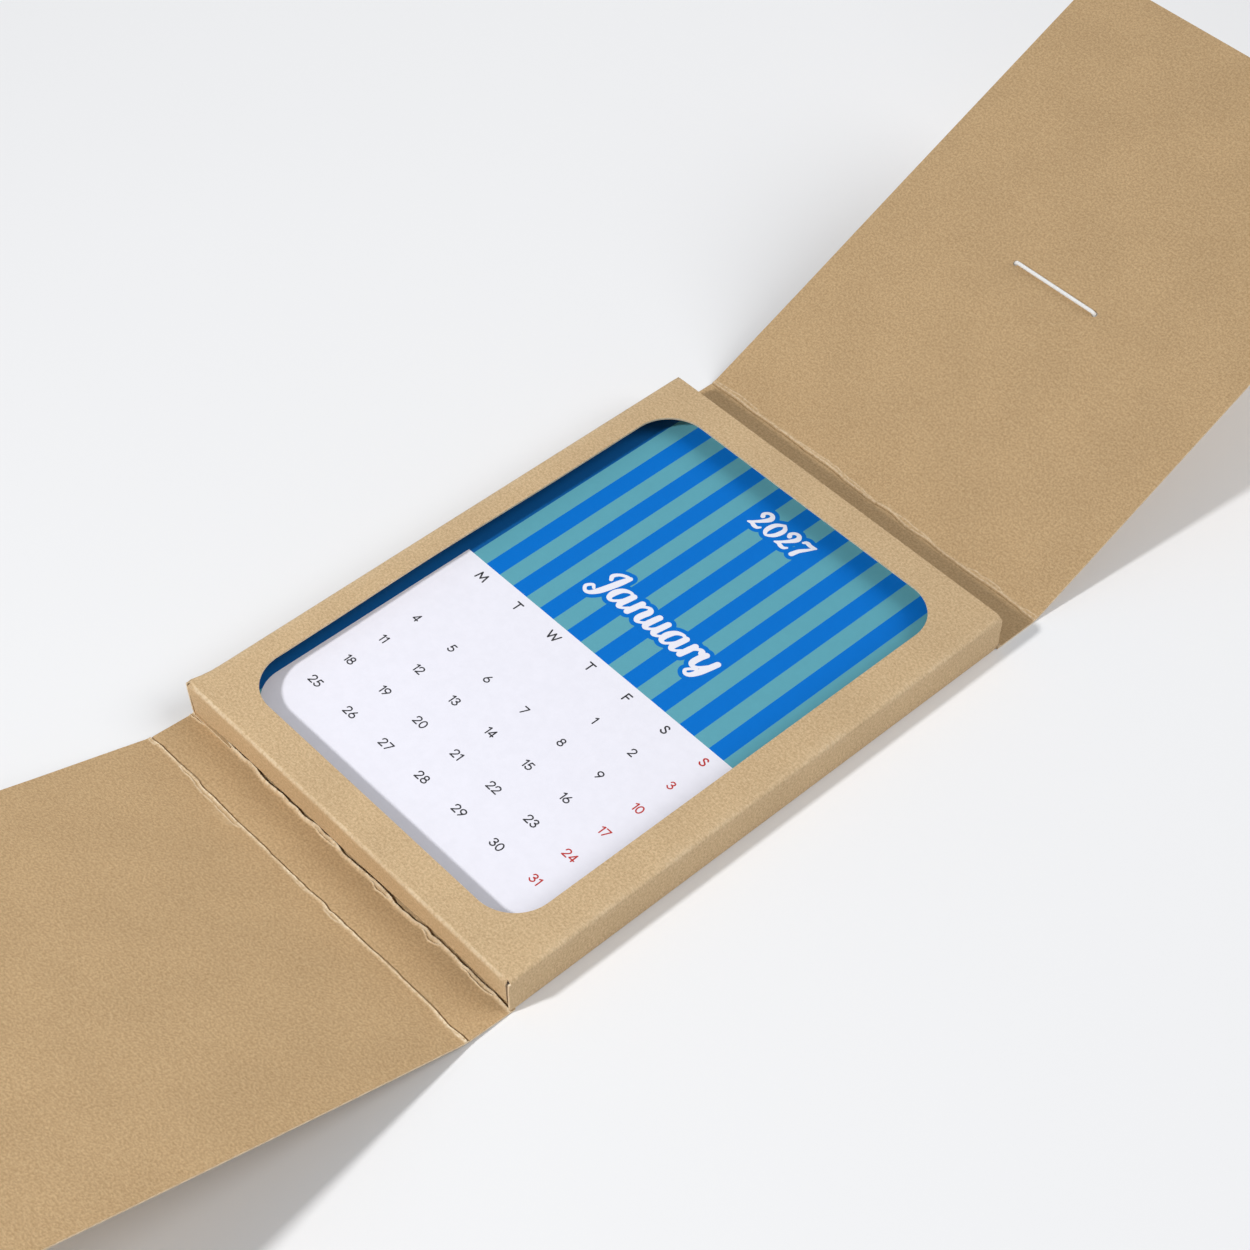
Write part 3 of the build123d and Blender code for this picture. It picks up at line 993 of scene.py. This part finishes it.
def make_side(name, way, spine_angle, cover_angle, cover, tuck, shoulder, bead, rub_and_shade, seed):
    """One side of the case: from the sleeve's end over the spine to the cover's free end, in two pieces."""
    hinges = [np.array(JOINTS[f"{name}_{part}_fold"]["pos_m"]) / MM for part in ("spine", "cover")]
    sleeve_crease = abs(hinges[0][1]) - HALF_LENGTH + tuck
    spine = np.linalg.norm(hinges[1] - hinges[0])
    cover_crease = sleeve_crease + spine
    half_way = sleeve_crease + spine / 2
    free_end = cover_crease + cover
    turns = (radians(spine_angle), radians(cover_angle - spine_angle))
    half_bend = [CREASE_BEND if turn else 0.0 for turn in turns]
    arcs = [turn * bend / tan(turn / 2) if turn else 0.0 for turn, bend in zip(turns, half_bend)]
    runs = (
        (sleeve_crease - half_bend[0], 0.0), (arcs[0], turns[0]),
        (spine - sum(half_bend), 0.0), (arcs[1], turns[1]), (cover, 0.0),
    )

    def build(piece, v_from, v_to, crease, holes, corner):
        """One piece of the side, with the fibres that stand up along its crease."""
        flat, triangles = cut_strip(v_from, v_to, crease, holes, corner)
        x, v = flat.T
        place, out = follow(runs, (HALF_LENGTH - tuck, BOARD / 2), v)
        middle = np.stack([x, way * place[:, 0], place[:, 1]], 1)
        normal = np.stack([np.zeros(len(x)), way * out[:, 0], out[:, 1]], 1)
        across = v - crease
        at_sleeve = crease == sleeve_crease
        raised = shoulder if at_sleeve else 0.0
        crease_seed = seed + SLEEVE_CREASE_SEED * int(at_sleeve)
        off = across - crease_line(x, crease_seed) - (SHOULDER_OFFSET if raised else 0.0)
        relief = crease_relief(x, off, bead, crease_seed)
        relief = relief * slope(v, v_from, RELIEF_ENDS[0]) * slope(-v, -v_to, RELIEF_ENDS[1])
        score = bell(across, SCORE_WIDTH, height=SCORE_DEPTH)
        wave = value_noise(x / COVER_WAVE_LENGTH, v / COVER_WAVE_LENGTH, seed + COVER_SEED)
        bow = COVER_BOW * (wave - 1) / 2 * slope(v - cover_crease, *COVER_BOW_SLOPE)
        rounded = 1 - np.abs(x / HALF_WIDTH) ** SHOULDER_ROUNDING
        swell = raised * rounded * (1 + wander(x, *SHOULDER_WAVES, seed))
        bow = bow + swell * bell(off, SHOULDER_WIDTH)
        middle = middle - normal * bow[:, None]
        # Wear: pale where the fibres stand up; below 0 in the furrow, where the kraft material paints shade
        wear_and_shade = np.clip(relief / bead, -1, 1) * rub_and_shade
        if not at_sleeve:
            relief = np.minimum(relief, fold_room(across))
        outer = middle + normal * (BOARD / 2 - score)[:, None]
        inner = middle - normal * (BOARD / 2 + relief)[:, None]
        made = board_object(piece, flat, triangles, outer, inner, wear_and_shade)
        return made

    def along(hinge, angle, distance):
        """Place at a distance from a hinge along a panel, in metres."""
        step = np.array([0, way * cos(radians(angle)), sin(radians(angle))]) * distance
        return tuple((hinge + step) * MM)

    holes = [(x, cover_crease + ELASTIC_REACH) for x in ELASTIC_HOLES] if name == "top" else []
    spine_piece = build(f"{name}_spine_sheet", 0.0, half_way, sleeve_crease, [], 0.0)
    cover_piece = build(f"{name}_cover_sheet", half_way, free_end, cover_crease, holes, COVER_CORNER)
    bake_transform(spine_piece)
    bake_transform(cover_piece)
    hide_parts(f"{name}_spine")
    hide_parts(f"{name}_cover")


def braid(angle, distance):
    """Relief of the threads round a braided cord, as a share of its radius."""
    around = BRAID_THREADS * angle
    along = BRAID_TURN * distance
    return BRAID_DEPTH * np.sin(around + along) * np.sin(around - along)


def braided_tube(path, radius, around):
    """Points and faces of a closed braided cord along a path."""
    ahead = np.gradient(path, axis=0)
    ahead /= np.linalg.norm(ahead, axis=1)[:, None]
    side = np.cross(ahead[0], ANY_WAY)
    sides = []
    for direction in ahead:
        side = side - direction * (side @ direction)
        side = side / np.linalg.norm(side)
        sides.append(side)
    sides = np.array(sides)
    others = np.cross(ahead, sides)
    run = np.concatenate([[0], np.cumsum(np.linalg.norm(np.diff(path, axis=0), axis=1))])
    angles = np.arange(around) * 2 * pi / around
    size = radius * (1 + braid(angles[None, :], run[:, None]))
    spokes = sides[:, None] * np.cos(angles)[None, :, None] + others[:, None] * np.sin(angles)[None, :, None]
    points = (path[:, None] + spokes * size[..., None]).reshape(-1, 3)
    faces = []
    for i in range(len(path) - 1):
        for j in range(around):
            k = (j + 1) % around
            faces.append((i * around + j, i * around + k, (i + 1) * around + k, (i + 1) * around + j))
    last = (len(path) - 1) * around
    faces.append(tuple(range(around))[::-1])
    faces.append(tuple(last + j for j in range(around)))
    return points, faces


def make_elastic():
    """Elastic strap: a braided cord along the cover's inner face, with a stopper knot under each hole."""
    angle = radians(SIDES["top"]["cover_angle"])
    along = np.array([0, cos(angle), sin(angle)])
    up = np.array([0, -sin(angle), cos(angle)])
    origin = np.array(JOINTS["top_cover_fold"]["pos_m"]) / MM + along * ELASTIC_REACH
    left, right = ELASTIC_HOLES
    rise = BOARD / 2 + ELASTIC / 2
    stem = (KNOT_DEPTH + rise - ELASTIC_BEND, 0)
    bend = (ELASTIC_BEND * pi / 2, -pi / 2)
    runs = (stem, bend, (right - left - 2 * ELASTIC_BEND, 0), bend, stem)
    at = np.arange(0, sum(length for length, _ in runs), ELASTIC_STEP)
    flat, _ = follow(runs, (0, 0), at)

    # The path starts upwards: its first axis is the way up through the hole, its second the way to the left
    path = origin + np.outer(left - flat[:, 1], (1, 0, 0)) + np.outer(flat[:, 0] - KNOT_DEPTH, up)
    points, faces = braided_tube(path, ELASTIC / 2, ELASTIC_AROUND)

    # A stopper knot is a trefoil
    turn = np.linspace(0, 2 * pi, KNOT_POINTS)
    loop = np.stack([
        np.sin(turn) + 2 * np.sin(2 * turn),
        np.cos(turn) - 2 * np.cos(2 * turn),
        -KNOT_RISE * np.sin(3 * turn),
    ], 1) * KNOT_SIZE
    for hole in ELASTIC_HOLES:
        centre = origin + np.array((hole, 0, 0)) - up * KNOT_DEPTH
        knot = centre + loop[:, :1] * (1, 0, 0) + loop[:, 1:2] * along + loop[:, 2:] * up
        more, more_faces = braided_tube(knot, ELASTIC * KNOT_CORD, KNOT_AROUND)
        faces += [tuple(index + len(points) for index in face) for face in more_faces]
        points = np.concatenate([points, more])
    made = add_mesh("elastic_cord", points * MM, faces, [elastic_material()])
    made.data.shade_smooth()
    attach(made, "top_cover")
    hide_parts("elastic_strap")


def smooth_line(knots, steps):
    """Points of a smooth curve through all the knots."""
    knots = np.array(knots, float)
    ends = np.concatenate([[2 * knots[0] - knots[1]], knots, [2 * knots[-1] - knots[-2]]])
    t = np.linspace(0, 1, steps, endpoint=False)[:, None]
    parts = []
    for a, b, c, d in zip(ends, ends[1:], ends[2:], ends[3:]):
        square = a - 2.5 * b + 2 * c - d / 2
        cube = 1.5 * (b - c) + (d - a) / 2
        parts.append(b + t * (c - a) / 2 + t**2 * square + t**3 * cube)
    return np.concatenate([*parts, knots[-1:]])


def pen_field(strokes, cell):
    """Distances on a grid from the edge of what a round pen covers, and the grid's lowest corner."""
    dabs = []
    for knots in strokes:
        longest = np.linalg.norm(np.diff(np.array(knots)[:, :2], axis=0), axis=1).max()
        dabs.append(smooth_line(knots, int(np.ceil(longest / cell)) + 1))
    dabs = np.concatenate(dabs)
    margin = PRINT_MARGIN_CELLS * cell
    widest = dabs[:, 2].max() / 2 + margin
    low = dabs[:, :2].min(0) - widest
    columns, rows = np.ceil((dabs[:, :2].max(0) + widest - low) / cell).astype(int)
    field = np.full((columns, rows), cell)
    for x, y, width in dabs:
        reach = width / 2 + margin
        i, j = ((np.array((x, y)) - reach - low) / cell).astype(int)
        k, m = ((np.array((x, y)) + reach - low) / cell).astype(int) + 1
        near_x = low[0] + np.arange(i, k)[:, None] * cell - x
        near_y = low[1] + np.arange(j, m)[None, :] * cell - y
        field[i:k, j:m] = np.minimum(field[i:k, j:m], np.hypot(near_x, near_y) - width / 2)
    return field, low


def make_print(name, strokes, cell, height, material):
    """Flat print on the top card: the ground that a round pen covers along strokes of place and width."""
    field, low = pen_field(strokes, cell)
    points, faces, known = [], [], {}

    def point_between(a, b, share):
        """Index of the point between two crossings of the grid."""
        if (a, b) not in known:
            known[a, b] = len(points)
            place = low + cell * (np.array(a) + share * (np.array(b) - np.array(a)))
            points.append((*place, CARD_TOP + height))
        return known[a, b]

    covered = field < 0
    touched = covered[:-1, :-1] | covered[1:, :-1] | covered[1:, 1:] | covered[:-1, 1:]
    for i, j in np.argwhere(touched).tolist():
        square = ((i, j), (i + 1, j), (i + 1, j + 1), (i, j + 1))
        face = []
        for a, b in zip(square, square[1:] + square[:1]):
            if covered[a]:
                face.append(point_between(a, a, 0.0))
            if covered[a] != covered[b]:
                first, second = min(a, b), max(a, b)
                share = field[first] / (field[first] - field[second])
                face.append(point_between(first, second, np.clip(share, PRINT_SLIVER, 1 - PRINT_SLIVER)))
        faces.append(face)
    made = add_mesh(name, np.array(points) * MM, faces, [material])
    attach(made, "case")


def plain_strokes(items, size, pen):
    """Strokes of short texts, each centred on its place."""
    strokes = []
    for text, x, y in items:
        line = []
        pen_x = 0.0
        for letter in text:
            glyph = PLAIN_GLYPHS[letter]
            left = min(place[0] for knots in glyph for place in knots)
            line += [[(pen_x + a - left, b) for a, b in knots] for knots in glyph]
            pen_x = max(place[0] for knots in line for place in knots) + LETTER_GAP
        middle = (pen_x - LETTER_GAP) / 2
        wide = LETTER_WIDTH * size
        for knots in line:
            strokes.append([(x + wide * (a - middle), y + size * (b - 0.5), pen) for a, b in knots])
    return strokes


def title_strokes(text, place, outline):
    """Strokes of a word in the slanted letters of the titles, with an outline's width added."""
    strokes = []
    pen_x, base_y = place
    for letter in text:
        step, glyph = GLYPHS[letter]
        for knots in glyph:
            strokes.append([
                (pen_x + x + TITLE_SLANT * y, base_y + y, width + 2 * outline) for x, y, width in knots
            ])
        pen_x += step
    return strokes


def make_cards():
    """Month cards with their finish, and the print that lies on the top one."""
    plain = card_material()
    for name, part in frame["nodes"].items():
        if name.startswith("month_card"):
            part.data.materials.clear()
            part.data.materials.append(printed_card_material() if name == "month_card_01" else plain)
    columns = [COLUMN_LEFT + COLUMN_STEP * column for column in range(len(WEEKDAYS))]
    weekdays = [(letter, x, WEEKDAY_Y) for letter, x in zip(WEEKDAYS, columns)]
    dates, sundays = [], []
    for day in range(MONTH_DAYS):
        row, column = divmod(day + FIRST_WEEKDAY, len(WEEKDAYS))
        item = (str(day + 1), columns[column] - ROW_DRIFT * row, FIRST_ROW_Y - ROW_STEP * row)
        (sundays if column == SUNDAY else dates).append(item)
    inks = {name: ink_material(name, *colours) for name, colours in INKS.items()}
    texts = (
        ("print_weekdays", weekdays[:SUNDAY], WEEKDAY_SIZE, WEEKDAY_PEN, "black_ink"),
        ("print_sunday", weekdays[SUNDAY:], WEEKDAY_SIZE, WEEKDAY_PEN, "red_ink"),
        ("print_dates", dates, DATE_SIZE, DATE_PEN, "black_ink"),
        ("print_sundays", sundays, DATE_SIZE, DATE_PEN, "red_ink"),
    )
    for name, items, size, pen, ink in texts:
        make_print(name, plain_strokes(items, size, pen), FINE_CELL, INK, inks[ink])
    for word, (text, place) in TITLES.items():
        outline = title_strokes(text, place, TITLE_OUTLINE)
        make_print(f"print_{word}_outline", outline, OUTLINE_CELL, INK, inks["blue_ink"])
        make_print(f"print_{word}", title_strokes(text, place, 0.0), TITLE_CELL, 2 * INK, inks["white_ink"])


def background_rays(tree):
    """1 for rays that show the background, directly or reflected, and 0 for those that carry its light."""
    rays = node(tree, "LightPath").outputs
    mirrored = calc(tree, "MAXIMUM", rays["Is Glossy Ray"], rays["Is Transmission Ray"])
    return calc(tree, "MAXIMUM", rays["Is Camera Ray"], mirrored)


def floor_material():
    """Pale floor, which fades into the background far off."""
    material, tree, shader = new_material("floor")
    place = object_place(tree)
    axes = node(tree, "SeparateXYZ", {"Vector": place}).outputs
    away = calc(tree, "ADD", *(calc(tree, "MULTIPLY", axis, rise) for axis, rise in zip(axes, FLOOR_SLOPE)))
    inputs = {"Value": away, "From Min": FLOOR_SPAN[0], "From Max": FLOOR_SPAN[1]}
    colour = mix(tree, node(tree, "MapRange", inputs).outputs[0], FLOOR_NEAR, FLOOR_FAR)
    shade = mix(tree, ramp(tree, noise(tree, place, *FLOOR_CLOUD), *BROAD_LEVELS), *FLOOR_SHADES)
    connect(tree, shader.inputs["Base Color"], mix(tree, 1.0, colour, shade, "MULTIPLY"))
    shader.inputs["Roughness"].default_value = FLOOR_ROUGHNESS
    shader.inputs["Specular IOR Level"].default_value = FLOOR_GLOSS
    distance = node(tree, "VectorMath", {0: place}, operation="LENGTH").outputs["Value"]
    faded = calc(tree, "MULTIPLY", ramp(tree, distance, *FLOOR_FADE), background_rays(tree))
    glow = node(tree, "Emission", {"Color": SKY_COLOUR, "Strength": SKY_SEEN})
    surface = node(tree, "MixShader", {0: faded, 1: shader.outputs[0], 2: glow.outputs[0]})
    connect(tree, tree.nodes["Material Output"].inputs["Surface"], surface.outputs[0])
    return material


def make_floor():
    """Floor, which isn't part of the object."""
    corners = [(FLOOR_REACH * x, FLOOR_REACH * y, 0) for x, y in ((-1, -1), (1, -1), (1, 1), (-1, 1))]
    made = add_mesh("floor", corners, [(0, 1, 2, 3)], [floor_material()])
    made.location.z = -FLOOR_DROP


def add_lamp(name, kind, travel, **settings):
    """New lamp that shines in a direction."""
    lamp = bpy.data.lights.new(name, kind)
    for setting, value in settings.items():
        setattr(lamp, setting, value)
    made = add_object(name, lamp)
    made.rotation_mode = "QUATERNION"
    made.rotation_quaternion = travel.to_track_quat("-Z", "Y")
    return made


def make_lights():
    """Key lamp, fill lamp and sky."""
    key = add_lamp(
        "key_lamp", "SPOT", -Vector(KEY_PLACE), energy=KEY_POWER, shadow_soft_size=KEY_RADIUS * MM,
        spot_size=radians(KEY_CONE), spot_blend=KEY_BLEND,
    )
    key.location = Vector(KEY_PLACE) * MM
    add_lamp("fill_lamp", "SUN", Vector(FILL_TRAVEL), energy=FILL_STRENGTH, angle=radians(FILL_SPREAD))
    world = bpy.data.worlds.new("studio")
    world.use_nodes = True
    tree = world.node_tree
    sky = tree.nodes["Background"]
    sky.inputs["Color"].default_value = SKY_COLOUR
    connect(tree, sky.inputs["Strength"], between(tree, background_rays(tree), SKY_STRENGTH, SKY_SEEN))
    bpy.context.scene.world = world


def make_camera():
    """Camera at the photograph's place."""
    data = bpy.data.cameras.new("camera")
    data.sensor_width = SENSOR
    data.lens = FOCAL_PIXELS / IMAGE_PIXELS * SENSOR
    data.clip_start = CLIP_START
    data.clip_end = CLIP_END
    made = add_object("camera", data)
    axes = np.eye(4)
    axes[:3, 0] = RIGHT
    axes[:3, 1] = -np.array(DOWN)
    axes[:3, 2] = -np.array(FORWARD)
    axes[:3, 3] = np.array(EYE) * MM
    made.matrix_world = Matrix(axes.tolist())
    bpy.context.scene.camera = made


make_camera()
make_sleeve()
for side_name, side_sizes in SIDES.items():
    make_side(side_name, **side_sizes)
make_elastic()
make_cards()
make_floor()
make_lights()
bpy.context.scene.view_settings.view_transform = "Standard"
